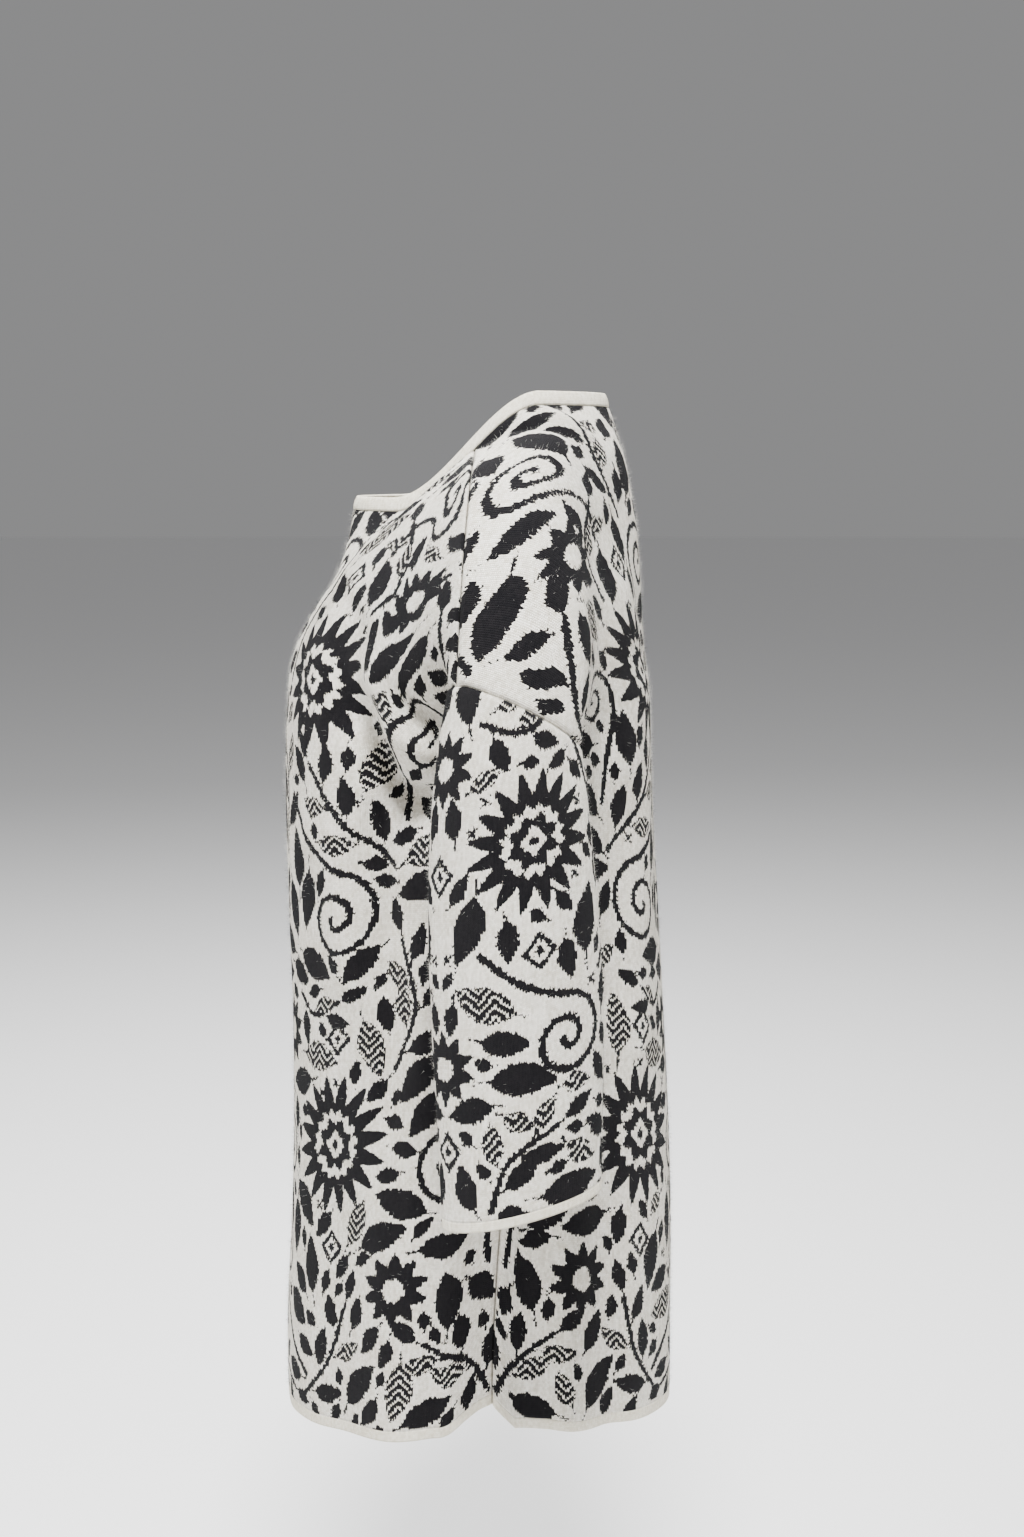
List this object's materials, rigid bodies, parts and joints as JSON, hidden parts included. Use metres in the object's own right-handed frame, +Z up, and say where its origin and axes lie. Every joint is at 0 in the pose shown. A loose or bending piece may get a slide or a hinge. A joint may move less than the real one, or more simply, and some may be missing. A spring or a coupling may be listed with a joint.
{
  "type": "sweater dress",
  "caption": "Knitted sweater dress worn open at neck, hem and cuffs: straight body with dropped shoulders, wide round neckband, long sleeves and a small vent at each side of the hem.",
  "frame": {"origin": "midway between the two shoulders, level with the neck points, where the wearer's shoulders carry the dress", "axes": "+Z up, -Y is the way the dress faces, +X is towards its left sleeve"},
  "size_m": [0.602, 0.3309, 0.8418],
  "materials": {
    "patterned_knit": "matt, slightly hairy fine wool knit in cream and black",
    "plain_knit": "matt, slightly hairy fine wool knit in cream"
  },
  "bodies": {
    "root": {"front": "patterned_knit", "back": "patterned_knit", "sleeve_left": "patterned_knit", "sleeve_right": "patterned_knit", "neckband": "plain_knit", "hem_band_front": "plain_knit", "hem_band_back": "plain_knit", "cuff_band_left": "plain_knit", "cuff_band_right": "plain_knit"}
  },
  "joints": []
}
